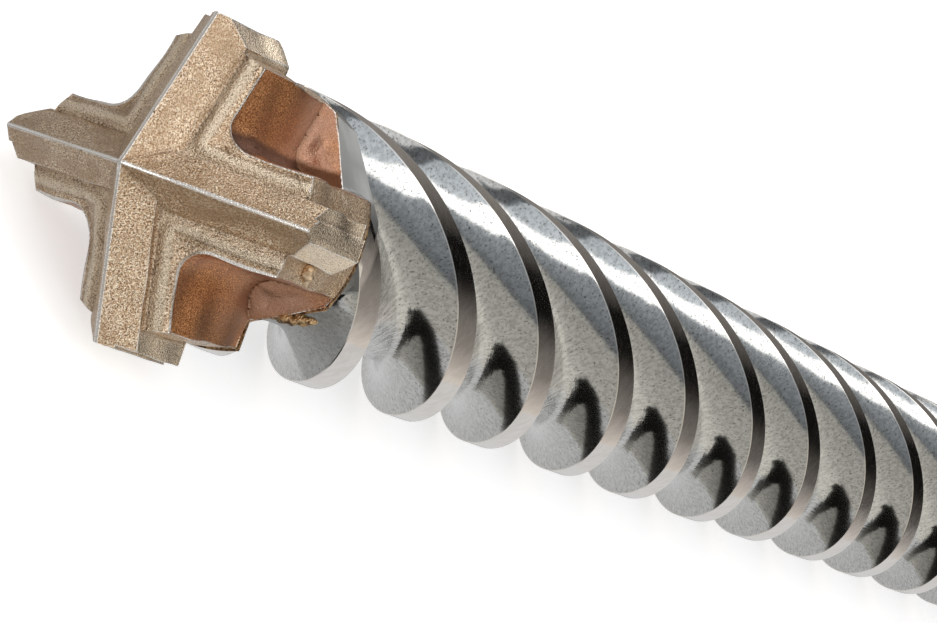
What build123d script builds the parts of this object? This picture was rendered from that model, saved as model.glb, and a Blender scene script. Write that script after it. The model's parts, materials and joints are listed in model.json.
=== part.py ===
from build123d import *
from math import cos, radians, sin, sqrt, tan
import os

os.makedirs("parts", exist_ok=True)

# Four-cutter masonry drill bit for a rotary hammer, lying on its spiral lands.
# Millimetres. The drill axis runs along X with the tip towards +X, +Z is up, and the
# origin is on the floor under the middle of the bit. Distances called "back" are
# measured along the axis from the tip towards the shank, and a "turn" is an angle
# about the axis, in degrees from the first cutter, growing the way the spiral winds.

# overall
total_length = 260.0
head_diameter = 16.0

# direction of the first cutter: the four cutters straddle the floor, two up and two
# down, so the bit rests on its lands
first_cutter_angle = 225.0

# carbide head: cutters
cutters = 4
point_angle = 125.0
roof_half_angle_leading = 33.7
roof_half_angle_trailing = 30.5
cutter_half_leading = 1.30
cutter_half_trailing = 1.36
honed_edge_width = 0.14
cutter_length = 10.7
relief_start = 0.45
relief_angle = 48.0
end_step_depth = 0.22
end_step_from = 0.62

# carbide head: cross-shaped base behind the cutters
base_diameter = 13.2
base_draft = 2.0
base_half_thickness = 2.42
pocket_corner_radius = 1.4

# foot of the head, where the pockets run out and the head meets the steel
head_length = 14.0
foot_flat = 5.25
foot_turn = 154.0
foot_height = 2.6
foot_slope = 45.0

# braze seam
seam_thickness = 0.15
seam_proud = 0.05

# steel body: front collar
collar_diameter = 13.0
collar_length = 1.5
collar_wide_flat = 6.1
collar_narrow_flat = 4.9
collar_turn = 144.0

# steel body: four-start right-hand spiral
starts = 4
lead = 52.0
spiral_diameter = 13.5
core_diameter = 8.8
land_width = 2.8
land_shift = 0.65
first_land_turn = -9.1
front_run = 3.0
rear_run = 1.6
root_radius = 1.2
spiral_end = 192.0
runout_angle = 16.0
core_swell_length = 14.0

# steel body: neck and slotted shank
shank_diameter = 10.0
shank_chamfer = 0.8
drive_slots = 2
drive_slot_width = 3.8
drive_slot_depth = 1.7
drive_slot_length = 37.0
lock_cutter_radius = 3.6
lock_depth = 1.6
lock_length = 18.0
lock_from_end = 11.0

# values that follow from the sizes above
head_radius = head_diameter / 2
base_radius = base_diameter / 2
spiral_radius = spiral_diameter / 2
core_radius = core_diameter / 2
shank_radius = shank_diameter / 2
tip_x = total_length / 2
axis_height = spiral_radius
point_slope = 1 / tan(radians(point_angle / 2))
turn_per_mm = 360 / lead
steel_front = head_length + seam_thickness
# stock that is left on a blank before it is trimmed to its true outline
trim = 2.0


def across(back):
    """Plane square to the drill axis: local x points along the first cutter, local z rearward."""
    turn = radians(first_cutter_angle)
    return Plane(
        origin=(tip_x - back, 0, axis_height),
        x_dir=(0, cos(turn), sin(turn)),
        z_dir=(-1, 0, 0),
    )


def radial(turn):
    """Direction square to the axis at this turn."""
    tip = across(0)
    return tip.x_dir * cos(radians(turn)) + tip.y_dir * sin(radians(turn))


def along(turn):
    """Plane through the axis: local x is radial at this turn, local y runs back from the tip."""
    tip = across(0)
    return Plane(origin=tip.origin, x_dir=radial(turn), z_dir=radial(turn).cross(tip.z_dir))


def cutter_face(turn):
    """Plane at the tip that faces out along one cutter: local x trails, local y runs back."""
    tip = across(0)
    return Plane(origin=tip.origin, x_dir=tip.z_dir.cross(radial(turn)), z_dir=radial(turn))


def polar(radius, turn):
    """Point in a plane square to the axis."""
    return (radius * cos(radians(turn)), radius * sin(radians(turn)))


def foot_outline(proud=0.0):
    """Outline of the head where it meets the steel: a cross, with a flat across each pocket."""
    flat = 2 * (foot_flat + proud)
    arm = 2 * (base_half_thickness + proud)
    Rectangle(flat, flat, rotation=foot_turn)
    Rectangle(2 * head_diameter, arm)
    Rectangle(arm, 2 * head_diameter)
    Circle(base_radius + proud, mode=Mode.INTERSECT)


drill_axis = Axis(across(0).origin, across(0).z_dir)

# carbide head, its front: for each cutter a steep roof on a wide shallow one, drawn
# at the axis and run out along the cutter's ridge
flank_half_width = honed_edge_width / 2
leading_drop = (cutter_half_leading - flank_half_width) / tan(radians(roof_half_angle_leading))
trailing_drop = (cutter_half_trailing - flank_half_width) / tan(radians(roof_half_angle_trailing))
# across the cutter the ledge falls as its ridge does outward, so each pocket's ledge is one
# plane; the trailing flank runs straight into it, and ahead of the cutter a step is left
ledge_drop = trailing_drop - cutter_half_trailing * point_slope
ledge_half_width = base_half_thickness + trim

with BuildPart() as head_front:
    for i in range(cutters):
        face = cutter_face(i * 360 / cutters)
        with BuildSketch(face):
            with BuildLine():
                Polyline(
                    (-flank_half_width, 0),
                    (flank_half_width, 0),
                    (cutter_half_trailing, trailing_drop),
                    (ledge_half_width, ledge_drop + ledge_half_width * point_slope),
                    (ledge_half_width, head_length + trim),
                    (-ledge_half_width, head_length + trim),
                    (-ledge_half_width, ledge_drop + ledge_half_width * point_slope),
                    (-cutter_half_leading, ledge_drop + cutter_half_leading * point_slope),
                    (-cutter_half_leading, leading_drop),
                    close=True,
                )
            make_face()
        extrude(amount=head_diameter, dir=face.z_dir + face.y_dir * point_slope)

# carbide head, the whole: a cross with rounded pockets on a foot that closes them, with
# the blades standing out past it, all under the sloped front
relief_drop = (cutter_half_trailing - relief_start) * tan(radians(relief_angle))

with BuildPart() as carbide_head:
    with BuildSketch(across(0)) as cross:
        Rectangle(2 * head_diameter, 2 * base_half_thickness)
        Rectangle(2 * base_half_thickness, 2 * head_diameter)
        fillet(cross.vertices().sort_by_distance((0, 0))[:4], pocket_corner_radius)
    extrude(amount=head_length)
    with BuildSketch(across(head_length)):
        Rectangle(2 * foot_flat, 2 * foot_flat, rotation=foot_turn)
    extrude(amount=-foot_height, taper=foot_slope)
    with BuildSketch(across(head_length)):
        Circle(base_radius)
    extrude(amount=-head_length, taper=-base_draft, mode=Mode.INTERSECT)
    # blades, with a shallow step ahead of each cutting corner and relief behind it
    with BuildSketch(across(0)):
        with PolarLocations(0, cutters):
            Polygon(
                (0, -cutter_half_leading),
                (head_radius - end_step_depth, -cutter_half_leading),
                (head_radius - end_step_depth, -end_step_from),
                (head_radius + trim, -end_step_from),
                (head_radius + trim, relief_start),
                (head_radius, relief_start),
                (head_radius - relief_drop, cutter_half_trailing),
                (0, cutter_half_trailing),
                align=None,
            )
        Circle(head_radius, mode=Mode.INTERSECT)
    extrude(amount=cutter_length)
    add(head_front.part, mode=Mode.INTERSECT)

# braze seam between head and steel
with BuildPart() as braze_seam:
    with BuildSketch(across(head_length)):
        foot_outline(seam_proud)
    extrude(amount=seam_thickness)

# steel body: spiral, front collar, neck and slotted shank, all one piece
spiral_length = spiral_end - steel_front
shift_turn = land_shift * turn_per_mm
land_turn = land_width * turn_per_mm


def land_front(start):
    """Turn of a land's front edge where the spiral begins; alternate lands are shifted forward."""
    shift = shift_turn if start % 2 else 0
    return first_land_turn + steel_front * turn_per_mm - start * 360 / starts + shift


with BuildPart() as steel_body:
    with BuildLine(across(steel_front)) as spine:
        Line((0, 0, 0), (0, 0, spiral_length))
    with BuildLine(across(steel_front)) as guide:
        Helix(pitch=lead, height=spiral_length, radius=spiral_radius, direction=drill_axis.direction)
    with BuildSketch(across(steel_front)) as section:
        with BuildLine():
            for start in range(starts):
                front = land_front(start)
                next_rear = land_front(start - 1) - land_turn
                land_from = polar(spiral_radius, front - land_turn)
                land_to = polar(spiral_radius, front)
                root_from = polar(core_radius, front + front_run * turn_per_mm)
                root_to = polar(core_radius, next_rear - rear_run * turn_per_mm)
                RadiusArc(land_from, land_to, -spiral_radius)
                Line(land_to, root_from)
                RadiusArc(root_from, root_to, -core_radius)
                Line(root_to, polar(spiral_radius, next_rear))
        make_face()
        roots = section.vertices().sort_by_distance((0, 0))[: 2 * starts]
        fillet(roots, root_radius)
    sweep(path=spine.wires()[0], binormal=guide.wires()[0])
    # the lands run out on a cone towards the neck
    runout_radius = spiral_radius + trim
    runout_length = (runout_radius - shank_radius) / tan(radians(runout_angle))
    with BuildSketch(along(0)):
        with BuildLine():
            Polyline(
                (0, steel_front - trim),
                (runout_radius, steel_front - trim),
                (runout_radius, spiral_end - runout_length),
                (shank_radius, spiral_end),
                (0, spiral_end),
                close=True,
            )
        make_face()
    revolve(axis=drill_axis, mode=Mode.INTERSECT)
    # front collar, with a flat across each pocket
    with BuildSketch(across(steel_front)):
        Rectangle(2 * collar_wide_flat, 2 * collar_narrow_flat, rotation=collar_turn)
        Circle(collar_diameter / 2, mode=Mode.INTERSECT)
    extrude(amount=collar_length)
    # the core swells into the neck and shank
    with BuildSketch(along(0)):
        with BuildLine():
            Polyline(
                (0, spiral_end - core_swell_length),
                (core_radius - root_radius / 4, spiral_end - core_swell_length),
                (shank_radius, spiral_end),
                (shank_radius, total_length - shank_chamfer),
                (shank_radius - shank_chamfer, total_length),
                (0, total_length),
                close=True,
            )
        make_face()
    revolve(axis=drill_axis)
    # drive slots, open at the end of the shank
    with BuildSketch(across(total_length)):
        with PolarLocations(shank_radius - drive_slot_depth, drive_slots):
            Rectangle(shank_radius, drive_slot_width, align=(Align.MIN, Align.CENTER))
    extrude(amount=-drive_slot_length, mode=Mode.SUBTRACT)
    # closed locking recesses, cut with a round-nosed cutter between the slots
    lock_axis = shank_radius - lock_depth + lock_cutter_radius
    lock_nose = sqrt(lock_cutter_radius**2 - (lock_cutter_radius - lock_depth) ** 2)
    lock_rear = total_length - lock_from_end - lock_nose
    lock_front = total_length - lock_from_end - lock_length + lock_nose
    for i in range(drive_slots):
        turn = (i + 0.5) * 360 / drive_slots
        with BuildSketch(across(lock_rear)):
            with Locations(polar(lock_axis, turn)):
                Circle(lock_cutter_radius)
        extrude(amount=lock_front - lock_rear, mode=Mode.SUBTRACT)
        for back in (lock_rear, lock_front):
            with Locations(across(back).from_local_coords(Vector(*polar(lock_axis, turn), 0))):
                Sphere(lock_cutter_radius, mode=Mode.SUBTRACT)

# finished pieces
carbide_head.part.label = "carbide_head"
export_step(carbide_head.part, "parts/carbide_head.step")

braze_seam.part.label = "braze_seam"
export_step(braze_seam.part, "parts/braze_seam.step")

steel_body.part.label = "steel_body"
export_step(steel_body.part, "parts/steel_body.step")
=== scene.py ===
"""A masonry drill bit with a four-cutter carbide head, dressed and lit for its picture.

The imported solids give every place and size. The head and the steel body get finer meshes on
those sizes, with their sintered, milled and ground surfaces, and a small studio stands round
them. Sizes on the drill are in millimetres and turns in degrees, as on its drawing; every
Blender object is in metres.
"""

from __future__ import annotations

import json
import logging
import math
from dataclasses import dataclass, field
from enum import Enum

import bmesh
import bpy
import numpy as np
from mathutils import Matrix, Vector

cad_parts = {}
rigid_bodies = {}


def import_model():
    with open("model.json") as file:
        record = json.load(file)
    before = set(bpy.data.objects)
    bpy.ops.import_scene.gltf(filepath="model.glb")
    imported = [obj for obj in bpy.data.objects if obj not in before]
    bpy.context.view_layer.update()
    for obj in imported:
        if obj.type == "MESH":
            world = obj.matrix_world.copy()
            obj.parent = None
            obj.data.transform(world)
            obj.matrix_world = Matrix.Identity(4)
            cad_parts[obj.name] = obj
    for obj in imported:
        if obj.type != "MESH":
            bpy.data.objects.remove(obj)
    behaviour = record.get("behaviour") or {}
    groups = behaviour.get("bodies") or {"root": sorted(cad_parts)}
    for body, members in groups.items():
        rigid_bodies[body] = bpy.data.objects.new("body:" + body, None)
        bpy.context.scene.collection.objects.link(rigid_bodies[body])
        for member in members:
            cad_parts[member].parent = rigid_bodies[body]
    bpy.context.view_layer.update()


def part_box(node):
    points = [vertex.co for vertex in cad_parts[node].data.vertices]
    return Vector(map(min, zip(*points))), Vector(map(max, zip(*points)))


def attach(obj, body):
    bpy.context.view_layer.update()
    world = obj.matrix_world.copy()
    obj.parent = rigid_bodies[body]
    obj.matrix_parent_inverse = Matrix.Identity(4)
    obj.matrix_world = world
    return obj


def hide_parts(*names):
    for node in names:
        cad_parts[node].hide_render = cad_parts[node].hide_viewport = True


MM = 0.001
WELD = 0.001 * MM
log = logging.getLogger("drill_bit")

Triple = tuple[float, float, float]
Array = np.ndarray
Mesh = bpy.types.Mesh
Object = bpy.types.Object
Socket = bpy.types.NodeSocket


class Steel(Enum):
    """The surfaces of the steel body, each with its own finish."""

    LAND = 0
    FLUTE = 1
    SHANK = 2


@dataclass(frozen=True)
class DrillAxis:
    """The drill's axis in the frame.

    Attributes:
        tip_x: X of the point, in metres.
        height: Z of the axis, in metres.
        first_cutter: direction of the first cutter about the axis, in degrees.
    """

    tip_x: float
    height: float
    first_cutter: float = 225.0

    def place(self, turn: Array, radius: Array, back: Array) -> Array:
        """Turns drill coordinates into points of the frame.

        Args:
            turn: angles from the first cutter, growing as the spiral winds.
            radius: distances from the axis.
            back: distances behind the tip.

        Returns:
            The points, one row each, in metres.
        """
        angle = np.radians(self.first_cutter - turn)
        x = self.tip_x - back * MM
        y = radius * MM * np.cos(angle)
        z = self.height + radius * MM * np.sin(angle)
        return np.stack(np.broadcast_arrays(x, y, z), axis=-1)

    def read(self, points: Array) -> tuple[Array, Array, Array]:
        """Turns points of the frame into drill coordinates.

        Args:
            points: points in metres, one row each.

        Returns:
            Distances along the first cutter and along the second, and behind the tip.
        """
        turn = math.radians(self.first_cutter)
        y = points[:, 1] / MM
        z = (points[:, 2] - self.height) / MM
        first = y * math.cos(turn) + z * math.sin(turn)
        second = y * math.sin(turn) - z * math.cos(turn)
        return first, second, (self.tip_x - points[:, 0]) / MM


class Nodes:
    """Writes the node tree of a material or of the world."""

    def __init__(self, owner: bpy.types.Material | bpy.types.World) -> None:
        """Starts on the owner's tree, emptied."""
        self.owner = owner
        owner.use_nodes = True
        self.tree = owner.node_tree
        self.tree.nodes.clear()

    @classmethod
    def material(cls, name: str) -> Nodes:
        """Starts a new material."""
        return cls(bpy.data.materials.new(name))

    def add(self, kind: str, settings: dict | None = None, **inputs: object) -> bpy.types.Node:
        """Adds a node.

        Args:
            kind: the node's type, without the ShaderNode in front.
            settings: values of the node's own properties.
            **inputs: sockets by name, with _ for a space; a socket or a plain value each.

        Returns:
            The new node.
        """
        node = self.tree.nodes.new("ShaderNode" + kind)
        for key, value in (settings or {}).items():
            setattr(node, key, value)
        for key, value in inputs.items():
            self.join(node.inputs[key.replace("_", " ")], value)
        return node

    def join(self, socket: Socket, value: object) -> None:
        """Links a socket to another, or sets its value; a colour is red, green and blue."""
        if isinstance(value, Socket):
            self.tree.links.new(value, socket)
        else:
            socket.default_value = (*value, 1.0) if socket.type == "RGBA" else value

    def place(self) -> Socket:
        """Returns the object's own coordinates, in metres."""
        return self.add("TexCoord").outputs["Object"]

    def mask(self, name: str) -> Socket:
        """Returns a value that is stored on the mesh."""
        return self.add("Attribute", {"attribute_name": name}).outputs["Fac"]

    def noise(self, where: Socket, size: float, detail: float = 2.0, rough: float = 0.5) -> Socket:
        """Returns a noise of about this grain size in millimetres."""
        scale = 1 / (size * MM)
        node = self.add("TexNoise", Vector=where, Scale=scale, Detail=detail, Roughness=rough)
        return node.outputs["Fac"]

    def ramp(
        self, value: Socket, low: float, high: float, start: float = 0.0, end: float = 1.0
    ) -> Socket:
        """Maps low..high of a value to start..end, smoothly and clamped."""
        settings = {"interpolation_type": "SMOOTHSTEP"}
        spans = {"From_Min": low, "From_Max": high, "To_Min": start, "To_Max": end}
        return self.add("MapRange", settings, Value=value, **spans).outputs["Result"]

    def math(self, operation: str, first: object, second: object = 0.0) -> Socket:
        """Returns one arithmetic step."""
        node = self.add("Math", {"operation": operation})
        self.join(node.inputs[0], first)
        self.join(node.inputs[1], second)
        return node.outputs["Value"]

    def plus(self, first: object, second: object) -> Socket:
        """Returns the sum of two values."""
        return self.math("ADD", first, second)

    def times(self, first: object, second: object) -> Socket:
        """Returns the product of two values."""
        return self.math("MULTIPLY", first, second)

    def larger(self, first: object, second: object) -> Socket:
        """Returns the larger of two values."""
        return self.math("MAXIMUM", first, second)

    def sway(self, noise: Socket, reach: float) -> Socket:
        """Returns a noise that swings this far in all about nought."""
        return self.times(self.math("SUBTRACT", noise, 0.5), reach)

    def blend(self, amount: Socket, first: object, second: object) -> Socket:
        """Mixes two colours."""
        node = self.add("Mix", {"data_type": "RGBA"})
        for slot, value in ((0, amount), (6, first), (7, second)):
            self.join(node.inputs[slot], value)
        return node.outputs[2]

    def bump(
        self, height: Socket, depth: float, strength: float = 1.0, under: Socket | None = None
    ) -> Socket:
        """Returns a normal for a height of this depth in millimetres, over another normal."""
        node = self.add("Bump", Height=height, Distance=depth * MM, Strength=strength)
        if under is not None:
            self.join(node.inputs["Normal"], under)
        return node.outputs["Normal"]

    def metal(self, body: Socket, rough: object, normal: Socket) -> bpy.types.Material:
        """Ends the tree with bare metal and returns the material."""
        looks = {"Base_Color": body, "Metallic": 1.0, "Roughness": rough, "Normal": normal}
        return self.finish(self.add("BsdfPrincipled", **looks))

    def finish(self, shader: bpy.types.Node, output: str = "OutputMaterial") -> bpy.types.ID:
        """Links the surface shader to the output and returns the tree's owner."""
        self.join(self.add(output).inputs["Surface"], shader.outputs[0])
        return self.owner


@dataclass(frozen=True)
class SinteredCarbide:
    """Pressed and sintered carbide with a copper-bronze film, rubbed bright along its edges, where
    a highlight is painted too.

    The film has four tones and so have the pockets, copper to rose, with a near-black tone for a
    shadow painted along a cutter's wall in two pockets; dark also paints shade into concave edges,
    and bare, carbide without its film, also paints highlights along the edges and ridges. The
    grain, the patches, the relief and the ridges' honed lines are in millimetres.
    """

    film: Triple = (0.63, 0.43, 0.27)
    pale: Triple = (0.99, 0.84, 0.65)
    dark: Triple = (0.20, 0.115, 0.062)
    tarnish: Triple = (0.43, 0.28, 0.16)
    copper: Triple = (0.26, 0.088, 0.028)
    glint: Triple = (0.76, 0.36, 0.15)
    blush: Triple = (0.34, 0.16, 0.10)
    rose: Triple = (0.52, 0.31, 0.215)
    # Colour of the shadow painted along a cutter's wall in two of the four pockets.
    painted_shadow: Triple = (0.085, 0.030, 0.014)
    # Carbide without its film; also the colour of the highlights painted along edges and ridges.
    bare: Triple = (0.87, 0.84, 0.80)
    grain: float = 0.105
    patch: float = 2.6
    relief: float = 0.065
    line: tuple[float, float] = (0.085, 0.065)
    line_fray: float = 0.04
    roughness: float = 0.32
    polished: float = 0.22

    def honed_ridge_highlight(self, made: Nodes, height: float, ragged: Socket) -> Socket:
        """Draws the honed lines along the cutters' ridges, partly bare honed carbide and partly a
        painted highlight.

        Args:
            made: the material's nodes.
            height: height of the drill axis, in metres.
            ragged: noise that frays the lines.

        Returns:
            One on the lines and nought off them.
        """
        level = made.add("VectorMath", {"operation": "SUBTRACT"})
        made.join(level.inputs[0], made.place())
        made.join(level.inputs[1], (0.0, 0.0, height))
        turned = made.add("Mapping", Vector=level.outputs[0], Rotation=(math.radians(45), 0.0, 0.0))
        parts = made.add("SeparateXYZ", Vector=turned.outputs[0]).outputs
        near = made.math("MINIMUM", *[made.math("ABSOLUTE", parts[side]) for side in "YZ"])
        frayed = made.plus(near, made.times(ragged, self.line_fray * MM))
        return made.times(made.ramp(frayed, *[edge * MM for edge in self.line]), made.mask("ridge"))

    def pocket_and_rim(self, made: Nodes, ragged: Socket) -> tuple[Socket, Socket]:
        """Draws the pockets and the line round their rims, rubbed carbide with a painted highlight.

        Args:
            made: the material's nodes.
            ragged: noise that frays the lines.

        Returns:
            A mask of the pockets and a mask of their rims.
        """
        inside = made.ramp(made.mask("rim_away"), -0.045, -0.015)
        pocket = made.times(inside, made.ramp(made.mask("below"), 0.04, 0.09))
        # The rim line is partly rubbed carbide and partly a painted highlight.
        gap = made.plus(made.mask("edge_away"), made.sway(ragged, 0.12))
        return pocket, made.ramp(gap, 0.11, 0.07, 0.0, 0.85)

    def skin(self, made: Nodes, grain: Socket, fine: Socket, patches: Socket) -> Socket:
        """Colours the film, paler on the ledges and on the cutters' ends.

        Args:
            made: the material's nodes.
            grain: noise of the grains.
            fine: noise of the finer grains.
            patches: noise of the patches.

        Returns:
            The colour.
        """
        body = made.blend(made.ramp(grain, 0.42, 0.62), self.film, self.pale)
        body = made.blend(made.ramp(fine, 0.49, 0.38), body, self.dark)
        body = made.blend(made.ramp(patches, 0.46, 0.64, 0.0, 0.55), body, self.tarnish)
        open_face = made.larger(made.mask("ledge"), made.mask("end"))
        light = made.times(open_face, made.ramp(fine, 0.3, 0.5, 0.2, 0.85))
        return made.blend(light, body, self.pale)

    def pocket_skin(self, made: Nodes, where: Socket, fine: Socket, patches: Socket) -> Socket:
        """Colours the pockets, rosier on their foot, with a shadow painted along a cutter's wall in
        two of them.

        Args:
            made: the material's nodes.
            where: the object's coordinates.
            fine: noise of the grains.
            patches: noise of the patches.

        Returns:
            The colour.
        """
        copper = made.blend(made.ramp(fine, 0.42, 0.62), self.copper, self.glint)
        tiny = made.noise(where, self.grain * 0.5, 2.0, 0.6)
        blush = made.blend(made.ramp(tiny, 0.30, 0.66), self.blush, self.rose)
        foot = made.times(made.mask("foot"), made.ramp(patches, 0.36, 0.60, 0.5, 1.0))
        copper = made.blend(foot, copper, blush)
        # Painted shadow: a strip along the cutter's wall, in two of the four pockets, is darkened.
        painted_shadow_gap = made.mask("painted_shadow_gap")
        shade = made.ramp(made.plus(painted_shadow_gap, made.sway(patches, 0.4)), 0.95, 0.60, 0.0, 0.92)
        shade = made.times(shade, made.ramp(painted_shadow_gap, 0.04, 0.14))
        return made.blend(shade, copper, self.painted_shadow)

    def build(self, height: float) -> bpy.types.Material:
        """Makes the material.

        Args:
            height: height of the drill axis, in metres.

        Returns:
            The material.
        """
        made = Nodes.material("sintered_carbide")
        where = made.place()
        grain = made.noise(where, self.grain, 2.0, 0.6)
        fine = made.noise(where, self.grain * 0.6, 1.0, 0.5)
        patches = made.noise(where, self.patch, 3.0)
        pocket, rim = self.pocket_and_rim(made, grain)
        inner = self.pocket_skin(made, where, fine, patches)
        body = made.blend(pocket, self.skin(made, grain, fine, patches), inner)
        # Painted shade: concave edges are darkened towards the dark tone.
        body = made.blend(made.times(made.mask("crease_shade"), 0.8), body, self.dark)
        # Convex edges and pocket rims are brightened towards bare: partly rubbed-off film, partly a
        # painted highlight.
        chipped_and_highlit = made.ramp(made.plus(made.mask("wear_and_highlight"), made.sway(patches, 0.9)), 0.45, 0.80)
        # The ridges' honed lines are painted bright: partly bare honed carbide, partly a painted
        # highlight.
        line = self.honed_ridge_highlight(made, height, patches)
        honed_highlight = made.times(line, made.ramp(patches, 0.35, 0.60, 0.7, 1.0))
        wear_and_highlight = made.larger(made.larger(chipped_and_highlit, rim), honed_highlight)
        body = made.blend(wear_and_highlight, body, self.bare)
        coarse = made.plus(made.times(made.mask("ledge"), 1.2), 0.8)
        calm = made.times(made.larger(made.mask("end"), pocket), 0.3)
        depth = made.math("SUBTRACT", coarse, made.larger(calm, made.times(line, 0.7)))
        grains = made.times(made.plus(grain, made.times(fine, 0.6)), depth)
        smooth = made.larger(wear_and_highlight, made.mask("end"))
        rough = made.ramp(smooth, 0.0, 1.0, self.roughness, self.polished)
        return made.metal(body, rough, made.bump(grains, self.relief, 0.95))


@dataclass(frozen=True)
class BrazeGold:
    """Frozen braze metal, yellow and uneven."""

    gold: Triple = (0.62, 0.42, 0.22)
    burnt: Triple = (0.12, 0.065, 0.035)
    blotch: float = 0.32
    ripple: float = 0.12
    relief: float = 0.06
    roughness: float = 0.30

    def build(self) -> bpy.types.Material:
        """Makes the material."""
        made = Nodes.material("braze_gold")
        where = made.place()
        blotches = made.noise(where, self.blotch, 4.0, 0.7)
        body = made.blend(made.ramp(blotches, 0.40, 0.60), self.burnt, self.gold)
        normal = made.bump(made.noise(where, self.ripple, 3.0), self.relief)
        return made.metal(body, self.roughness, normal)


@dataclass(frozen=True)
class MilledSteel:
    """Milled and lightly blasted flutes.

    The grain, the specks and the waves are in millimetres. Streaks and comb are tool marks, in
    waves per millimetre across a flute and along it; the comb marks a flute's rear.
    """

    light: Triple = (0.60, 0.60, 0.59)
    dull: Triple = (0.44, 0.44, 0.43)
    pit: Triple = (0.14, 0.13, 0.12)
    scaled: Triple = (0.22, 0.22, 0.215)
    scuffed: Triple = (0.74, 0.74, 0.72)
    blast: float = 0.26
    speck: float = 0.13
    wave: float = 2.4
    streaks: tuple[float, float] = (4.0, 0.5)
    comb: tuple[float, float] = (0.7, 2.6)
    roughness: float = 0.09
    scaled_roughness: float = 0.42

    def tool_marks(self, made: Nodes, waves: tuple[float, float]) -> Socket:
        """Returns a noise with so many waves per millimetre across a flute and along it."""
        x, y = (made.times(made.mask(way), count) for way, count in zip(("across", "along"), waves))
        return made.noise(made.add("CombineXYZ", X=x, Y=y).outputs[0], 1 / MM, 3.0, 0.6)

    def build(self) -> bpy.types.Material:
        """Makes the material."""
        made = Nodes.material("milled_steel")
        where = made.place()
        root, dull = made.mask("root"), made.mask("dull")
        blast = made.noise(where, self.blast, 3.0, 0.6)
        pits = made.ramp(made.noise(where, self.speck, 2.0, 0.6), 0.40, 0.30)
        streak = self.tool_marks(made, self.streaks)
        comb = self.tool_marks(made, self.comb)
        rear = made.times(made.mask("rear"), made.ramp(dull, 0.3, 0.0))
        body = made.blend(made.ramp(blast, 0.35, 0.65), self.dull, self.light)
        body = made.blend(pits, body, self.pit)
        body = made.blend(made.math("POWER", dull, 4.0), body, self.scaled)
        marks = made.times(made.ramp(comb, 0.42, 0.66, 0.0, 0.7), rear)
        body = made.blend(marks, body, self.scuffed)
        normal = made.bump(made.noise(where, self.wave), 0.006)
        normal = made.bump(made.times(streak, made.ramp(root, 0.2, 1.0)), 0.014, 0.8, normal)
        normal = made.bump(made.times(comb, rear), 0.03, 0.9, normal)
        normal = made.bump(blast, 0.0012, 0.8, normal)
        clean = made.ramp(root, 0.0, 1.0, self.roughness, self.roughness + 0.04)
        rough = made.larger(clean, made.ramp(dull, 0.0, 0.6, 0.0, self.scaled_roughness))
        return made.metal(body, rough, normal)


@dataclass(frozen=True)
class GroundSteel:
    """Ground and polished steel, for the lands and the shank."""

    name: str
    bright: Triple = (0.84, 0.80, 0.76)
    brown: Triple = (0.76, 0.71, 0.66)
    stain: float = 0.7
    ripple: float = 0.2
    roughness: float = 0.10

    def build(self) -> bpy.types.Material:
        """Makes the material."""
        made = Nodes.material(self.name)
        where = made.place()
        stains = made.noise(where, self.stain, 4.0, 0.6)
        body = made.blend(made.ramp(stains, 0.38, 0.64), self.brown, self.bright)
        normal = made.bump(made.noise(where, self.ripple), 0.0004, 0.6)
        rough = made.ramp(stains, 0.3, 0.7, self.roughness, self.roughness + 0.04)
        return made.metal(body, rough, normal)


def rise(values: Array, start: float, length: float) -> Array:
    """Rises from nought at the start to one over a length."""
    return np.clip((values - start) / length, 0, 1)


def fall(values: Array, end: float, length: float) -> Array:
    """Falls from one to nought at the end over a length."""
    return np.clip((end - values) / length, 0, 1)


def smooth_field(points: Array, size: float, seed: int, waves: int = 24) -> Array:
    """Makes a smooth random field from plane waves.

    Args:
        points: places in millimetres, one row each.
        size: length of a wave, in millimetres.
        seed: number that fixes the field.
        waves: how many waves are added.

    Returns:
        A value for each place, mostly between -1 and 1.
    """
    pick = np.random.default_rng(seed)
    ways = pick.normal(size=(waves, 3))
    ways /= np.linalg.norm(ways, axis=1)[:, None]
    steps = 2 * math.pi / (size * pick.uniform(0.7, 1.6, waves))
    phases = pick.uniform(0, 2 * math.pi, waves)
    total = np.zeros(len(points))
    for way, step, phase in zip(ways, steps, phases):
        total += np.sin(points @ way * step + phase)
    return total / math.sqrt(waves / 2)


def store(mesh: Mesh, name: str, values: Array) -> None:
    """Keeps one number for each point of a mesh, for its material to read.

    Args:
        mesh: the mesh.
        name: name of the values.
        values: a number for each of its first points; the rest get nought.
    """
    full = np.zeros(len(mesh.vertices), np.float32)
    full[: len(values)] = values
    mesh.attributes.new(name, "FLOAT", "POINT").data.foreach_set("value", full)


def read_rows(items: bpy.types.bpy_prop_collection, name: str) -> Array:
    """Returns one vector of each item of a mesh, one row each."""
    flat = np.zeros(len(items) * 3, np.float32)
    items.foreach_get(name, flat)
    return flat.reshape(-1, 3).astype(float)


def neighbour_mean(mesh: Mesh, values: Array, rounds: int = 1) -> Array:
    """Averages values over each point's neighbours, round after round.

    Args:
        mesh: the mesh.
        values: a number for each of its points.
        rounds: how often they are averaged.

    Returns:
        The averages.
    """
    ends = np.zeros(len(mesh.edges) * 2, np.int32)
    mesh.edges.foreach_get("vertices", ends)
    first, second = ends.reshape(-1, 2).T
    own, other = np.concatenate([first, second]), np.concatenate([second, first])
    count = np.maximum(np.bincount(own, minlength=len(values)), 1)
    for _ in range(rounds):
        values = np.bincount(own, weights=values[other], minlength=len(values)) / count
    return values


def add_object(name: str, data: bpy.types.ID) -> Object:
    """Puts a new object with this data in the scene."""
    made = bpy.data.objects.new(name, data)
    bpy.context.scene.collection.objects.link(made)
    return made


def add_mesh(name: str, points: list, faces: list) -> Mesh:
    """Makes a mesh of points in metres."""
    mesh = bpy.data.meshes.new(name)
    mesh.from_pydata(points, [], faces)
    return mesh


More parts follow.
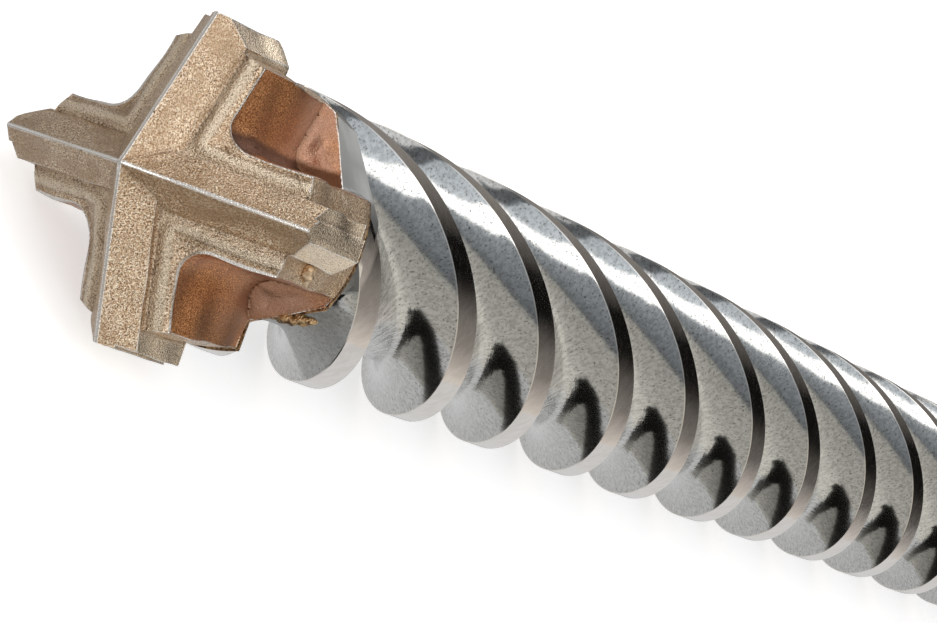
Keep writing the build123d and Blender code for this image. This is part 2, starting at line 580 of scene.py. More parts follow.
def ring_faces(rows: int, columns: int) -> Array:
    """Returns the quads between rings of points, each ring closed on itself."""
    index = np.arange(rows * columns).reshape(rows, columns)
    after = np.roll(index, -1, axis=1)
    return np.stack([index[:-1], after[:-1], after[1:], index[1:]], axis=-1).reshape(-1, 4)


def fine_copy(name: str, source: str, ways: list[Vector], spacing: float) -> Mesh:
    """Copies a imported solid's mesh, welded and cut up by evenly spaced planes.

    Args:
        name: name of the new mesh.
        source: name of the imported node.
        ways: directions that the planes are square to.
        spacing: distance between planes, in millimetres.

    Returns:
        The new mesh, of the same shape.
    """
    work = bmesh.new()
    work.from_mesh(bpy.data.objects[source].data)
    bmesh.ops.remove_doubles(work, verts=work.verts, dist=WELD)
    flat = math.radians(0.3)
    bmesh.ops.dissolve_limit(work, angle_limit=flat, verts=work.verts, edges=work.edges)
    for way in ways:
        places = [vert.co @ way for vert in work.verts]
        low, high = min(places), max(places)
        for step in range(1, math.ceil((high - low) / (spacing * MM))):
            everything = work.verts[:] + work.edges[:] + work.faces[:]
            place = way * (low + step * spacing * MM)
            bmesh.ops.bisect_plane(work, geom=everything, dist=1e-7, plane_co=place, plane_no=way)
    bmesh.ops.triangulate(work, faces=work.faces, quad_method="BEAUTY", ngon_method="BEAUTY")
    mesh = bpy.data.meshes.new(name)
    work.to_mesh(mesh)
    work.free()
    return mesh


def edge_bends(
    mesh: Mesh, sharp: float, least: float = 12.0
) -> tuple[Array, Array]:
    """Measures how far the faces bend over each edge, and keeps its outer edges sharp.

    Args:
        mesh: the mesh; its edges are marked sharp or smooth.
        sharp: outward bend above which an edge is sharp, in degrees.
        least: bend that counts at all, in degrees.

    Returns:
        For each point the sharpest outward and the sharpest inward bend there, in degrees.
    """
    work = bmesh.new()
    work.from_mesh(mesh)
    outward, inward = np.zeros(len(mesh.vertices)), np.zeros(len(mesh.vertices))
    for edge in work.edges:
        bend = math.degrees(edge.calc_face_angle_signed(0.0))
        edge.smooth = bend < sharp
        if abs(bend) > least:
            into = outward if bend > 0 else inward
            for vert in edge.verts:
                into[vert.index] = max(into[vert.index], abs(bend))
    work.to_mesh(mesh)
    work.free()
    return outward, inward


@dataclass
class CarbideHead:
    """The carbide head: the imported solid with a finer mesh, moulded ledges and a grainy skin.

    The first sizes are the drawing's. The groove and the bead are each a height, a place off
    the cutter and a width; the rim is where a ledge slopes off and how steeply; the fold
    between two cutters is a height, a width, a reach and a start.
    """

    axis: DrillAxis
    cell: float = 0.13
    slope: float = 1 / math.tan(math.radians(62.5))
    half_thickness: float = 2.42
    corner_radius: float = 1.4
    cutter_half: float = 1.33
    ledge_drop: float = 1.482
    end_from: float = 6.75
    groove: Triple = (-0.20, 0.05, 0.14)
    bead: Triple = (0.15, 0.45, 0.18)
    rim: tuple[float, float] = (0.78, 0.45)
    fold: tuple[float, float, float, float] = (0.10, 0.16, 1.5, 0.3)
    dent_size: float = 3.6
    dent_depth: float = 0.06
    foot_from: float = 11.6
    foot_to: float = 13.95
    lump_size: float = 1.9
    lump_height: float = 0.13
    finish: SinteredCarbide = field(default_factory=SinteredCarbide)

    def build(self) -> Object:
        """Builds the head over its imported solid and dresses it."""
        ways = [Vector((1, 0, 0)), Vector((0, 1, 1)).normalized(), Vector((0, 1, -1)).normalized()]
        mesh = fine_copy("carbide_cutting_head", "carbide_head", ways, self.cell)
        mesh.shade_smooth()
        outward, inward = edge_bends(mesh, 24)
        # Outward bends mark the edges that the material brightens: partly rubbed film, partly a
        # painted highlight.
        store(mesh, "wear_and_highlight", rise(outward, 20, 20))
        # Painted shade: the inward bends are kept so that the material darkens the concave edges.
        store(mesh, "crease_shade", neighbour_mean(mesh, rise(inward, 15, 15)))
        self.mark(mesh)
        self.mould(mesh)
        mesh.materials.clear()
        mesh.materials.append(self.finish.build(self.axis.height))
        head = add_object("carbide_cutting_head", mesh)
        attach(head, "root")
        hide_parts("carbide_head")
        return head

    def across(self, points: Array) -> tuple[Array, Array, Array, Array]:
        """Reads points against the cross of the cutters.

        Args:
            points: points in metres, one row each.

        Returns:
            Distances from the two cutters' middle planes, depth below the ledges' plane, and
            distance behind the tip.
        """
        first, second, back = self.axis.read(points)
        first, second = np.abs(first), np.abs(second)
        return first, second, back - self.ledge_drop - self.slope * (first + second), back

    def mould(self, mesh: Mesh) -> None:
        """Presses grooves and beads into the ledges and gives the skin its soft dents.

        Args:
            mesh: the head's mesh, whose points are moved.
        """
        points = read_rows(mesh.vertices, "co")
        normals = read_rows(mesh.vertex_normals, "vector")
        first, second, below, back = self.across(points)
        nearer, facing = np.minimum(first, second), normals[:, 0]
        lift = self.ledge_relief(first, second) * fall(np.abs(below), 0.12, 0.06)
        lift = neighbour_mean(mesh, lift * rise(facing, 0.45, 0.2), 2)
        lift += self.valley_fold(first, second) * rise(facing, 0.2, 0.2)
        ridge = np.clip((nearer - 0.16) / 0.5, 0.1, 1)
        dents = smooth_field(points / MM, self.dent_size, 3) * self.dent_depth * ridge
        foot = rise(back, self.foot_from, 0.8) * fall(back, self.foot_to, 0.5)
        foot *= rise(nearer, self.half_thickness + 0.3, 0.5)
        dents += foot * smooth_field(points / MM, self.lump_size, 5) * self.lump_height
        moved = points + normals * (dents * MM)[:, None]
        moved[:, 0] = np.minimum(moved[:, 0] + lift * MM, self.axis.tip_x)
        mesh.vertices.foreach_set("co", moved.astype(np.float32).ravel())
        mesh.update()

    def ledge_relief(self, first: Array, second: Array) -> Array:
        """Height of the ledges' groove, bead and sloping rim.

        Args:
            first: distances from the first cutters' middle plane.
            second: distances from the second cutters' middle plane.

        Returns:
            The height at each point.
        """
        nearest = -np.log(np.exp(-3.5 * first) + np.exp(-3.5 * second)) / 3.5
        away = np.maximum(nearest, np.minimum(first, second) - 0.25) - self.cutter_half
        shape = -self.rim[1] * np.maximum(away - self.rim[0], 0)
        for height, place, width in (self.groove, self.bead):
            shape += height * np.exp(-(((away - place) / width) ** 2))
        return shape

    def valley_fold(self, first: Array, second: Array) -> Array:
        """Height of the soft fold along the valley between two cutters.

        Args:
            first: distances from the first cutters' middle plane.
            second: distances from the second cutters' middle plane.

        Returns:
            The height at each point.
        """
        height, width, reach, start = self.fold
        middle = (first + second) / 2
        off = np.abs(first - second) / math.sqrt(2)
        shape = height * np.exp(-((off / width) ** 2))
        return shape * fall(middle, reach, 0.4) * rise(middle, 0, start)

    def mark(self, mesh: Mesh) -> None:
        """Marks the pockets, the coarse ledges and the smooth ends for the material.

        Args:
            mesh: the head's mesh, before it is moulded.
        """
        points = read_rows(mesh.vertices, "co")
        facing = read_rows(mesh.vertex_normals, "vector")[:, 0]
        first, second, below, back = self.across(points)
        nearer, farther = np.minimum(first, second), np.maximum(first, second)
        half, centre = self.half_thickness, self.half_thickness + self.corner_radius
        round_corner = self.corner_radius - np.hypot(centre - first, centre - second)
        away = np.where(farther < centre, round_corner, nearer - half)
        along, over, _ = self.axis.read(points)
        masks = {
            # Distance from a cutter's wall for the shadow painted in two of the four pockets; 9
            # elsewhere.
            "painted_shadow_gap": np.where(along * over < 0, second - half, 9),
            "rim_away": away,
            "below": below,
            "edge_away": np.hypot(away, below),
            "foot": rise(back, 9.5, 3.5),
            "ledge": fall(np.abs(below), 0.25, 0.1)
            * rise(nearer, self.cutter_half, 0.1)
            * fall(nearer, half - 0.3, 0.1),
            # Where the ridges' honed line, partly a painted highlight, is drawn; only on faces
            # turned towards the tip.
            "ridge": fall(nearer, 0.6, 0.2)
            * fall(below, 0.5 - self.ledge_drop, 0.2)
            * rise(facing, 0.3, 0.2),
            "end": fall(np.abs(facing), 0.25, 0.1) * rise(farther, self.end_from, 0.15),
        }
        for name, values in masks.items():
            store(mesh, name, values)


@dataclass
class SteelBody:
    """The steel body: front collar, four-start spiral, run-out and neck, and the slotted shank.

    The sizes are the drawing's. Besides them, first_back and last_back bound the part that is
    drawn here, chamfer and collar_fade ease the collar in and out, marks_from is how far off a
    land a flute turns coarse, and heated_at is the middle of a patch that the brazing scaled.
    """

    axis: DrillAxis
    first_back: float = 14.15
    last_back: float = 194.0
    starts: int = 4
    lead: float = 52.0
    land_radius: float = 6.75
    core_radius: float = 4.4
    land_width: float = 2.8
    land_shift: float = 0.65
    first_land_turn: float = -9.1
    front_run: float = 3.0
    rear_run: float = 1.6
    root_radius: float = 1.2
    edge_bevel: float = 0.05
    collar_radius: float = 6.5
    collar_length: float = 1.5
    collar_wide_flat: float = 6.1
    collar_narrow_flat: float = 4.9
    collar_turn: float = 144.0
    foot_flat: float = 5.3
    foot_turn: float = 154.0
    foot_arm: float = 2.5
    foot_radius: float = 6.65
    chamfer: float = 1.5
    collar_fade: float = 0.7
    spiral_end: float = 192.0
    runout_angle: float = 16.0
    swell_length: float = 14.0
    neck_radius: float = 5.0
    ring_step: float = 0.335
    corner_points: int = 9
    front_points: int = 13
    rear_points: int = 7
    land_points: int = 7
    marks_from: float = 2.3
    heated_at: Triple = (109.4, 6.2, 5.9)
    heated_size: float = 5.2

    @property
    def turn_per_mm(self) -> float:
        """Turn of the spiral for each millimetre back."""
        return 360 / self.lead

    @property
    def collar_end(self) -> float:
        """Distance behind the tip where the collar ends."""
        return self.first_back + self.collar_length

    def build(self) -> Object:
        """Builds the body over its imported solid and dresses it."""
        mesh = self.make_mesh()
        shank = GroundSteel("turned_shank", roughness=0.22)
        for finish in (GroundSteel("ground_land"), MilledSteel(), shank):
            mesh.materials.append(finish.build())
        body = add_object("steel_spiral_body", mesh)
        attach(body, "root")
        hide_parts("steel_body")
        return body

    def front_of(self, start: int) -> float:
        """Turn of a land's front edge, taken back to the tip along its helix."""
        shift = self.land_shift * self.turn_per_mm if start % 2 else 0.0
        return self.first_land_turn - start * 360 / self.starts + shift

    def flat(self, turn: float, radius: float) -> Array:
        """Returns a point of the section, square to the axis."""
        return radius * np.array([math.cos(math.radians(turn)), math.sin(math.radians(turn))])

    def round_corner(self, before: Array, corner: Array, after: Array) -> Array:
        """Rounds a root of the section.

        Args:
            before: the point that the line comes from.
            corner: the sharp corner.
            after: the point that the line goes to.

        Returns:
            The points of the rounded corner, in order.
        """
        way_in = (before - corner) / np.linalg.norm(before - corner)
        way_out = (after - corner) / np.linalg.norm(after - corner)
        bend = math.pi - math.acos(float(np.clip(way_in @ way_out, -1, 1)))
        most = 0.9 * float(np.linalg.norm(after - corner))
        reach = min(self.root_radius * math.tan(bend / 2), most)
        share = np.linspace(0, 1, self.corner_points)[:, None]
        return corner + reach * (way_in * (1 - share) ** 2 + way_out * share**2)

    def flute_points(self, start: int) -> Array:
        """Draws the flute ahead of a land, from its front edge to the next land's rear edge.

        Args:
            start: number of the land.

        Returns:
            The points, one row each, square to the axis.
        """
        per = self.turn_per_mm
        low = self.land_radius - self.edge_bevel
        front = self.front_of(start)
        next_rear = self.front_of(start - 1) - self.land_width * per
        root_from = front + self.front_run * per
        root_to = next_rear - self.rear_run * per
        edge, next_edge = self.flat(front, low), self.flat(next_rear, low)
        middle = self.flat((root_from + root_to) / 2, self.core_radius)
        first = self.round_corner(edge, self.flat(root_from, self.core_radius), middle)
        last = self.round_corner(next_edge, self.flat(root_to, self.core_radius), middle)[::-1]
        down, up = np.linspace(0, 1, self.front_points), np.linspace(0, 1, self.rear_points)
        first_wall = edge + (first[0] - edge) * down[:-1, None]
        last_wall = last[-1] + (next_edge - last[-1]) * up[1:-1, None]
        return np.concatenate([first_wall, first, [middle], last, last_wall])

    def section(self) -> tuple[Array, Array, Array]:
        """Draws the whole section at the tip's plane.

        Returns:
            Turn and radius of each point, and whether the face after it is land.
        """
        turns, radii, land = [], [], []
        bevel, top = self.edge_bevel * self.turn_per_mm, self.land_points
        for start in range(0, -self.starts, -1):
            front = self.front_of(start)
            rear = front - self.land_width * self.turn_per_mm
            flute = self.flute_points(start)
            turn = np.degrees(np.arctan2(flute[:, 1], flute[:, 0]))
            turn += 360 * np.round((front + 30 - turn) / 360)
            turns += [[rear], np.linspace(rear + bevel, front - bevel, top), turn]
            radii += [[self.land_radius - self.edge_bevel], [self.land_radius] * top]
            radii += [np.hypot(*flute.T)]
            land += [[True] * (top + 1), [False] * len(flute)]
        return np.concatenate(turns), np.concatenate(radii), np.concatenate(land)

    def stations(self) -> Array:
        """Lists the distances back at which a ring is drawn; the collar's end has two."""
        collar = np.linspace(self.first_back, self.collar_end, 6)
        count = round((self.last_back - self.collar_end) / self.ring_step)
        return np.concatenate([collar, np.linspace(self.collar_end + 1e-4, self.last_back, count)])

    def faces_of(self, turn: Array, square: float, half_sizes: tuple[float, float]) -> list[Array]:
        """Measures out to the two pairs of faces of a bar.

        Args:
            turn: the turns to measure at.
            square: turn of the bar's first pair of faces.
            half_sizes: distances of both pairs of faces from the axis.

        Returns:
            Distances from the axis to the first pair and to the second, at each turn.
        """
        angle = np.radians(turn - square)
        ways = (np.cos(angle), np.sin(angle))
        return [half / np.maximum(np.abs(way), 1e-6) for half, way in zip(half_sizes, ways)]

    def collar(self, turn: Array) -> Array:
        """Radius of the collar, a disc with two wide and two narrow flats, at each turn."""
        flats = (self.collar_wide_flat, self.collar_narrow_flat)
        wide, narrow = self.faces_of(turn, self.collar_turn, flats)
        return np.minimum(np.minimum(wide, narrow), self.collar_radius)

    def foot(self, turn: Array) -> Array:
        """Radius of the head's foot, a cross with a flat across each pocket, at each turn."""
        flat = np.minimum(*self.faces_of(turn, self.foot_turn, (self.foot_flat, self.foot_flat)))
        arm = np.maximum(*self.faces_of(turn, 0, (self.foot_arm, self.foot_arm)))
        return np.minimum(np.maximum(flat, arm), self.foot_radius)

    def rings(self) -> tuple[Array, Array, Array]:
        """Draws every ring of the spiral.

        Returns:
            Turn, radius and distance back of each point, one row for each ring.
        """
        turn, radius, _ = self.section()
        back = self.stations()[:, None]
        turns = turn[None, :] + back * self.turn_per_mm
        cone = (self.spiral_end - back) * math.tan(math.radians(self.runout_angle))
        cone = self.neck_radius + np.maximum(cone, 0)
        swollen = (back - self.spiral_end + self.swell_length) / self.swell_length
        core = self.core_radius - self.root_radius / 4
        swell = core + (self.neck_radius - core) * np.minimum(swollen, 1)
        radii = np.maximum(np.minimum(radius[None, :], cone), np.where(swollen > 0, swell, 0))
        fade = fall(back, self.collar_end + self.collar_fade, self.collar_fade)
        radii = radii + fade * np.maximum(self.collar(turns) - radii, 0)
        cut_back = fall(back, self.first_back + self.chamfer, self.chamfer)
        radii -= cut_back * np.maximum(radii - self.foot(turns), 0)
        return turns, radii, np.broadcast_to(back, turns.shape)

    def make_mesh(self) -> Mesh:
        """Joins the spiral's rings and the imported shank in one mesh."""
        turns, radii, backs = self.rings()
        rows, columns = turns.shape
        hub = rows * columns
        last = hub - columns
        points = self.axis.place(turns, radii, backs).reshape(-1, 3)
        middles = self.axis.place(0.0, 0.0, np.array([self.first_back, self.last_back]))
        quads = ring_faces(rows, columns)
        nexts = [(i, (i + 1) % columns) for i in range(columns)]
        front_fan = [(after, i, hub) for i, after in nexts]
        rear_fan = [(last + i, last + after, hub + 1) for i, after in nexts]
        shank_points, shank_faces = self.shank()
        shank_faces = [tuple(hub + 2 + i for i in face) for face in shank_faces]
        faces = quads.tolist() + front_fan + rear_fan + shank_faces
        points = np.concatenate([points, middles, shank_points])
        mesh = add_mesh("steel_spiral_body", points.tolist(), faces)
        land = self.section()[2]
        on_land = np.tile(land, rows - 1) & (radii[:-1].ravel() > self.neck_radius + 0.2)
        kinds = np.full(len(faces), Steel.SHANK.value, np.int32)
        kinds[: len(quads)] = np.where(on_land, Steel.LAND.value, Steel.FLUTE.value)
        kinds[len(quads) : len(quads) + 2 * columns] = Steel.FLUTE.value
        mesh.polygons.foreach_set("material_index", kinds)
        store(mesh, "root", fall(radii.ravel(), self.core_radius + 1, 1))
        self.wrap(mesh, turns, radii, backs)
        self.dull(mesh)
        mesh.shade_smooth()
        mesh.set_sharp_from_angle(angle=math.radians(32))
        mesh.validate()
        return mesh

    def wrap(
        self, mesh: Mesh, turns: Array, radii: Array, backs: Array
    ) -> None:
        """Stores millimetres across the flutes and along the helix, for the tool marks.

        Args:
            mesh: the body's mesh, whose first points are the rings'.
            turns: turns of the rings' points.
            radii: their radii.
            backs: their distances back.
        """
        sample = 40
        x = radii[sample] * np.cos(np.radians(turns[sample]))
        y = radii[sample] * np.sin(np.radians(turns[sample]))
        step = np.hypot(np.roll(x, -1) - x, np.roll(y, -1) - y)
        across = np.concatenate([[0], np.cumsum(step)[:-1]])
        land = self.section()[2]
        fronts = across[~land & np.roll(land, 1)]
        nearest = np.maximum(np.searchsorted(fronts, across, side="right") - 1, 0)
        rear = np.where(land, 0, rise(across - fronts[nearest], self.marks_from, 0.9))
        store(mesh, "across", np.tile(across, len(turns)))
        store(mesh, "along", backs.ravel())
        store(mesh, "rear", np.tile(rear, len(turns)))

    def dull(self, mesh: Mesh) -> None:
        """Marks the steel that brazing dulled: the collar's chamfer and a patch by the spill.

        Args:
            mesh: the body's mesh.
        """
        points = read_rows(mesh.vertices, "co")
        collar = fall(self.axis.read(points)[2], self.first_back + self.chamfer + 0.15, 0.15)
        heated = np.linalg.norm(points / MM - np.array(self.heated_at), axis=1)
        store(mesh, "dull", np.maximum(collar, 0.7 * fall(heated, self.heated_size, 1.2)))

    def shank(self) -> tuple[Array, list[tuple[int, ...]]]:
        """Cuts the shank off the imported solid's mesh.

        Returns:
            Its points in metres, and its faces.
        """
        cut = bmesh.new()
        cut.from_mesh(bpy.data.objects["steel_body"].data)
        bmesh.ops.remove_doubles(cut, verts=cut.verts, dist=WELD)
        plane = {"plane_co": (self.axis.tip_x - self.last_back * MM, 0, 0), "plane_no": (1, 0, 0)}
        everything = cut.verts[:] + cut.edges[:] + cut.faces[:]
        bmesh.ops.bisect_plane(cut, geom=everything, clear_outer=True, **plane)
        rim = [edge for edge in cut.edges if edge.is_boundary]
        bmesh.ops.holes_fill(cut, edges=rim, sides=0)
        cut.verts.ensure_lookup_table()
        points = np.array([vert.co[:] for vert in cut.verts])
        faces = [tuple(vert.index for vert in face.verts) for face in cut.faces]
        cut.free()
        return points, faces


@dataclass
class BrazeSeam:
    """The brazed joint between head and body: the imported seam."""

    finish: BrazeGold = field(default_factory=BrazeGold)

    def dress(self) -> Object:
        """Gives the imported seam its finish."""
        seam = bpy.data.objects["braze_seam"]
        seam.data.materials.clear()
        seam.data.materials.append(self.finish.build())
        return seam


@dataclass
class BrazeDrip:
    """A frozen drip of braze, a lumpy ridge that thins towards its ends.

    It runs from start to end, and its widths are its radii near the start, in the middle and
    near the end, in millimetres. The seed fixes its lumps, and lump_share is their height as a
    share of its radius.
    """

    name: str
    start: Triple
    end: Triple
    widths: Triple
    seed: int
    finish: BrazeGold = field(default_factory=BrazeGold)
    rings: int = 34
    around: int = 24
    lump_size: float = 0.45
    lump_share: float = 0.14

    def build(self) -> Object:
        """Builds the drip and dresses it."""
        start, end = np.array(self.start), np.array(self.end)
        way = (end - start) / np.linalg.norm(end - start)
        side = np.cross(way, (0.0, 0.0, 1.0))
        side /= np.linalg.norm(side)
        over = np.cross(side, way)
        share = (1 - np.cos(np.linspace(0, math.pi, self.rings))) / 2
        turns = np.linspace(0, 2 * math.pi, self.around, endpoint=False)
        width = np.interp(share, (0.2, 0.55, 0.9), self.widths)
        width *= np.sqrt(np.clip(4 * share * (1 - share), 0, 1))
        round_it = np.cos(turns)[:, None] * side + np.sin(turns)[:, None] * over
        middle = np.repeat(start + share[:, None] * (end - start), self.around, axis=0)
        spoke = (width[:, None, None] * round_it[None]).reshape(-1, 3)
        lumps = 1 + self.lump_share * smooth_field(middle + spoke, self.lump_size, self.seed)
        points = middle + spoke * lumps[:, None]
        faces = ring_faces(self.rings, self.around)
        mesh = add_mesh(self.name, (points * MM).tolist(), faces.tolist())
        closed = bmesh.new()
        closed.from_mesh(mesh)
        bmesh.ops.remove_doubles(closed, verts=closed.verts, dist=2 * WELD)
        bmesh.ops.recalc_face_normals(closed, faces=closed.faces)
        closed.to_mesh(mesh)
        closed.free()
        mesh.shade_smooth()
        mesh.materials.append(self.finish.build())
        drip = add_object(self.name, mesh)
        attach(drip, "root")
        return drip


@dataclass
class Card:
    """A curved card or soft box far round the bit, seen only in its polished surfaces.

    Attributes:
        name: its name.
        columns: for each column its azimuth (from +X towards +Y), its lower and its upper
            elevation in degrees, and its level, 1 for white, or its levels at both ends.
        tint: its colour at level 1.
        distance: distance from the bit, in metres.
    """

    name: str
    columns: tuple[tuple[float, ...], ...]
    tint: Triple = (1.0, 1.0, 1.0)
    distance: float = 2.5

    def build(self, target: Vector) -> Object:
        """Stands the card up round the bit.

        Args:
            target: the middle that it faces.

        Returns:
            The card.
        """
        points, levels = [], []
        for azimuth, low, high, *level in self.columns:
            points += [self.point(target, azimuth, low), self.point(target, azimuth, high)]
            levels += [level[0], level[-1]]
        lower = range(0, len(points) - 2, 2)
        mesh = add_mesh(self.name, points, [(i, i + 2, i + 3, i + 1) for i in lower])
        store(mesh, "level", np.array(levels))
        made = Nodes.material(self.name)
        glow = made.add("Emission", Color=self.tint, Strength=made.mask("level"))
        mesh.materials.append(made.finish(glow))
        card = add_object(self.name, mesh)
        hide_from_floor(card)
        return card

    def point(self, target: Vector, azimuth: float, elevation: float) -> Vector:
        """Returns the place of a corner."""
        a, e = math.radians(azimuth), math.radians(elevation)
        way = Vector((math.cos(a) * math.cos(e), math.sin(a) * math.cos(e), math.sin(e)))
        return target + way * self.distance


def hide_from_floor(card: Object) -> None:
    """Leaves a card to mirrored rays only, so that it neither shows nor shades the floor."""
    for ray in ("camera", "diffuse", "shadow", "transmission"):
        setattr(card, "visible_" + ray, False)


def square_sheet(name: str, half: float, height: float, paper: bpy.types.ID) -> Object:
    """Lays a level square.

    Args:
        name: its name.
        half: its half width, in metres.
        height: its height, in metres.
        paper: its material.

    Returns:
        The square.
    """
    points = [(x * half, y * half, height) for x, y in ((-1, -1), (1, -1), (1, 1), (-1, 1))]
    mesh = add_mesh(name, points, [(0, 1, 2, 3)])
    mesh.materials.append(paper)
    return add_object(name, mesh)


@dataclass
class Studio:
    """Pale floor, soft lights and the cards that the polished steel mirrors.

    The target is the middle of the cards. The sheets' half widths and the lower one's depth are
    in metres; sky, paper_glow and lower_level are levels, 1 for white.
    """

    target: Vector
    floor_half: float = 7.0
    lower_half: float = 40.0
    lower_depth: float = 4.0
    sky: float = 0.62
    paper: Triple = (0.80, 0.80, 0.80)
    paper_glow: float = 0.62
    lower_level: float = 0.66

    def build(self) -> None:
        """Sets up the floor, the world, the lamps and the cards."""
        self.floor()
        self.world()
        self.lamp("key_softbox", (-0.9, -0.9, 1.5), 1.2, 9.0)
        self.lamp("front_softbox", (1.6, 0.5, 1.0), 1.0, 7.0)
        for card in self.side_cards() + self.low_cards() + self.far_cards():
            card.build(self.target)
        self.lower_card()

    def side_cards(self) -> list[Card]:
        """Lists the cards beside the bit, from the top of the flutes' reflections down."""
        white, wall, blue = (1.0, 1.0, 0.99), (1.0, 0.97, 0.88), (0.88, 0.94, 1.0)
        softbox = ((86, 12, 32, 2.5), (96, 22, 40, 2.5), (100, 30, 45, 2.5), (104, 35, 49, 2.5),
                   (110, 43, 56, 2.5), (124, 57, 66, 2.5), (134, 67, 73, 2.5))
        above = ((84, 31, 62, 1.0, 0.8), (96, 40, 65, 1.0, 0.8), (100, 45, 66, 1.0, 0.8),
                 (104, 49, 67, 1.0, 0.8), (110, 56, 68, 1.0, 0.8), (124, 66, 71, 1.0, 0.9))
        top = ((84, 62, 72, 0.2, 0.14), (93, 64, 74, 0.2, 0.14), (110, 68, 77, 0.2, 0.14),
               (124, 71, 80, 0.2, 0.14), (150, 76, 84, 0.2, 0.14))
        band = ((86, -36, 12, 0.18, 0.5), (96, -30, 22, 0.18, 0.5), (100, -23, 30, 0.18, 0.5),
                (104, -9, 35, 0.17, 0.5), (107, 4, 40, 0.17, 0.5), (110, 15, 43, 0.18, 0.5),
                (114, 26, 47, 0.19, 0.5), (118, 34, 51, 0.21, 0.5), (124, 45, 57, 0.25, 0.5))
        below = tuple((azimuth, -60, low, 0.6, 0.5) for azimuth, low, *_ in band[:7])
        below += ((118, -60, 34, 0.62, 0.55), (124, -40, 45, 0.65), (132, -36, 40, 0.85),
                  (150, -36, 34, 0.85, 0.7))
        return [
            Card("side_softbox", softbox, white),
            Card("side_upper_panel", above, blue),
            Card("top_dark_card", top, blue),
            Card("side_grey_card", band, blue),
            Card("side_wall", below, wall, 2.6),
        ]

    def low_cards(self) -> list[Card]:
        """Lists the cards below the side wall, which draw the dark wedges in the flutes."""
        wall, near = (1.0, 0.97, 0.88), 2.4
        wedge = ((114, -24, -9, 0.01), (116.5, -31, -5, 0.01), (119, -37, -6, 0.01),
                 (122, -44, -9, 0.01), (127, -52, -17, 0.01), (132, -57, -28, 0.01),
                 (137, -61, -44.5, 0.01), (141, -63, -49, 0.01), (150, -66, -54, 0.01, 0.02),
                 (165, -69, -59, 0.02, 0.04), (180, -70, -62, 0.05, 0.15))
        strip = ((132, -44.5, -32, 0.01), (143, -44, -36, 0.01),
                 (160, -43, -37, 0.05, 0.10), (176, -43, -38, 0.3, 0.4))
        between = ((137, -44.5, -43, 0.28), (141, -49, -43, 0.28),
                   (150, -54, -43, 0.28, 0.34), (165, -59, -43, 0.3, 0.45),
                   (172, -60, -43, 0.5, 0.55))
        return [
            Card("lower_black_card", wedge, wall, near),
            Card("lower_dark_strip", strip, wall, near),
            Card("lower_grey_card", between, wall, near),
        ]

    def far_cards(self) -> list[Card]:
        """Lists the cards behind the shank, to the left and over the front."""
        rosy, pale = (1.0, 0.93, 0.86), (1.0, 0.98, 0.95)
        rear = ((140, 4, 34, 0.6, 0.55), (150, 4, 34, 0.5, 0.45), (158, 3, 34, 0.28, 0.25),
                (163, 3, 34, 0.13, 0.12), (168, 2, 34, 0.02), (171, 0, 34, 0.005),
                (182, 0, 34, 0.005), (190, -6, 34, 0.10), (202, -14, 34, 0.24),
                (222, -14, 34, 0.34))
        fade = ((150, -10, 4, 0.75, 0.5), (158, -10, 3, 0.75, 0.28), (163, -10, 3, 0.7, 0.13),
                (168, -10, 2, 0.6, 0.02))
        left = ((222, -50, 64, 0.46), (240, -40, 64, 0.44), (275, -30, 64, 0.44),
                (303, -60, 36, 0.5), (330, -60, 36, 0.42), (360, -60, 36, 0.42),
                (394, -60, 40, 0.45))
        key = ((305, 38, 72, 1.1), (330, 38, 72, 1.1), (355, 38, 72, 1.1))
        return [
            Card("rear_card", rear, rosy),
            Card("rear_lower_fade", fade, rosy),
            Card("left_wall", left, pale),
            Card("front_softbox_face", key, (1.0, 1.0, 0.99)),
        ]

    def lower_card(self) -> None:
        """Lays a wide grey card far below, in place of the floor, for mirrored rays alone."""
        made = Nodes.material("lower_wide_card")
        grey = made.finish(made.add("Emission", Strength=self.lower_level))
        card = square_sheet("lower_wide_card", self.lower_half, -self.lower_depth, grey)
        hide_from_floor(card)

    def floor(self) -> None:
        """Lays the floor under the bit, white to the camera but for the bit's soft shadow."""
        made = Nodes.material("studio_floor")
        path = made.add("LightPath").outputs
        paper = made.add("BsdfDiffuse", Color=self.paper).outputs[0]
        bright = made.add("AddShader")
        made.join(bright.inputs[0], paper)
        made.join(bright.inputs[1], made.add("Emission", Strength=self.paper_glow).outputs[0])
        mix = made.add("MixShader")
        made.join(mix.inputs[0], made.larger(path["Is Camera Ray"], path["Is Transmission Ray"]))
        made.join(mix.inputs[1], paper)
        made.join(mix.inputs[2], bright.outputs[0])
        floor = square_sheet("studio_floor", self.floor_half, 0.0, made.finish(mix))
        floor.visible_glossy = False

    def world(self) -> None:
        """Sets a soft even sky, white wherever it is seen directly or mirrored."""
        world = bpy.data.worlds.new("studio_world")
        bpy.context.scene.world = world
        made = Nodes(world)
        path = made.add("LightPath").outputs
        direct = made.larger(path["Is Camera Ray"], path["Is Transmission Ray"])
        seen = made.larger(direct, path["Is Glossy Ray"])
        level = made.add("MapRange", Value=seen, To_Min=self.sky, To_Max=1.0).outputs["Result"]
        sky = made.add("Background", Color=(1.0, 1.0, 1.0), Strength=level)
        made.finish(sky, "OutputWorld")

    def lamp(self, name: str, offset: Triple, size: float, power: float) -> Object:
        """Hangs a square soft box.

        Args:
            name: its name.
            offset: its place from the bit, in metres.
            size: its side, in metres.
            power: its power, in watts.

        Returns:
            The lamp.
        """
        data = bpy.data.lights.new(name, "AREA")
        data.shape = "SQUARE"
        data.size = size
        data.energy = power
        lamp = add_object(name, data)
        lamp.location = self.target + Vector(offset)
        lamp.rotation_mode = "QUATERNION"
        lamp.rotation_quaternion = (-Vector(offset)).to_track_quat("-Z", "Y")
        lamp.visible_camera = False
        return lamp


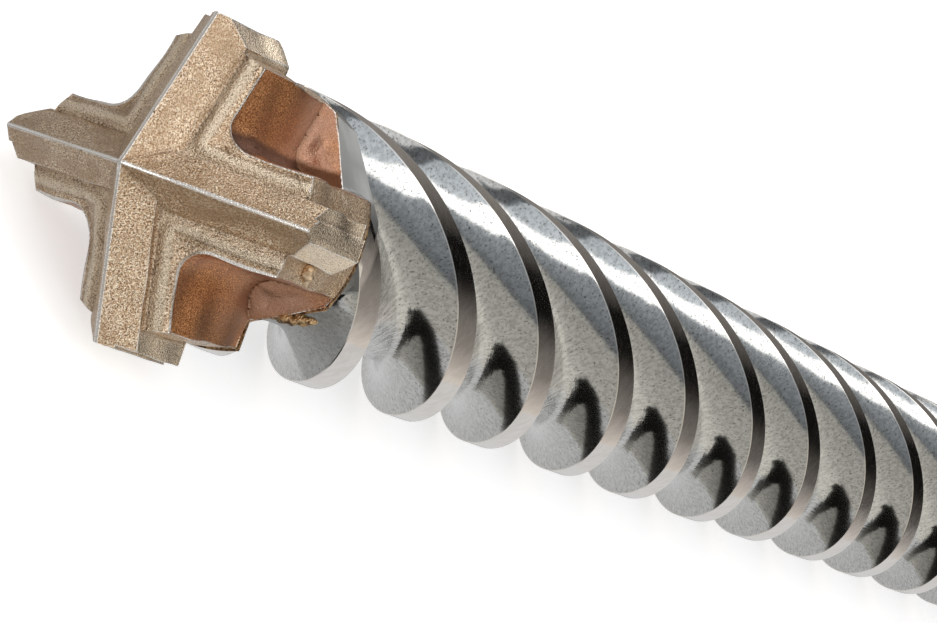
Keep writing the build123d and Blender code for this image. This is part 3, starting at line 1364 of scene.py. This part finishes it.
@dataclass
class ViewCamera:
    """The camera, where the photographer's stood: low over the floor, ahead of the tip, rolled.

    Its place, lens and frame are in millimetres, the distances between which it sees in metres.
    """

    eye: Triple = (326.3817, 70.1191, 69.7753)
    forward: Triple = (-0.932379, -0.268539, -0.241984)
    upward: Triple = (0.140680, -0.886209, 0.441410)
    lens: float = 187.456
    frame_width: float = 36.0
    clip: tuple[float, float] = (0.01, 50.0)

    def build(self) -> Object:
        """Makes the camera and sets it as the scene's own."""
        data = bpy.data.cameras.new("view_camera")
        data.lens = self.lens
        data.sensor_width = self.frame_width
        data.clip_start, data.clip_end = self.clip
        back = -Vector(self.forward).normalized()
        side = Vector(self.upward).cross(back).normalized()
        turn = Matrix((side, back.cross(side), back)).transposed().to_4x4()
        camera = add_object("view_camera", data)
        camera.matrix_world = Matrix.Translation(Vector(self.eye) * MM) @ turn
        bpy.context.scene.camera = camera
        return camera


def main() -> None:
    """Builds the scene in order and reports each piece."""
    logging.basicConfig(level=logging.INFO, format="%(name)s: %(message)s")
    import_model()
    bpy.context.scene.view_settings.view_transform = "Standard"
    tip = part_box("carbide_head")[1].x
    body_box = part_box("steel_body")
    axis = DrillAxis(tip_x=tip, height=(body_box[0].z + body_box[1].z) / 2)
    head = CarbideHead(axis).build()
    log.info("head: %s, %d points", head.name, len(head.data.vertices))
    body = SteelBody(axis).build()
    log.info("body: %s, %d points", body.name, len(body.data.vertices))
    seam = BrazeSeam().dress()
    log.info("seam: %s", seam.name)
    spill = BrazeDrip(
        name="braze_spill", start=(115.95, 4.62, 5.5), end=(115.4, 6.5, 8.1),
        widths=(0.26, 0.36, 0.33), seed=7,
    ).build()
    spur = BrazeDrip(
        name="braze_spur", start=(121.35, 5.72, 10.52), end=(120.0, 6.05, 9.5),
        widths=(0.40, 0.28, 0.12), seed=11,
        finish=BrazeGold(gold=(0.84, 0.64, 0.43), burnt=(0.58, 0.40, 0.24)),
    ).build()
    log.info("drips: %s, %s", spill.name, spur.name)
    Studio(target=Vector((0.08, 0.0, axis.height))).build()
    camera = ViewCamera().build()
    log.info("camera: %s", camera.name)


if __name__ == "__main__":
    main()
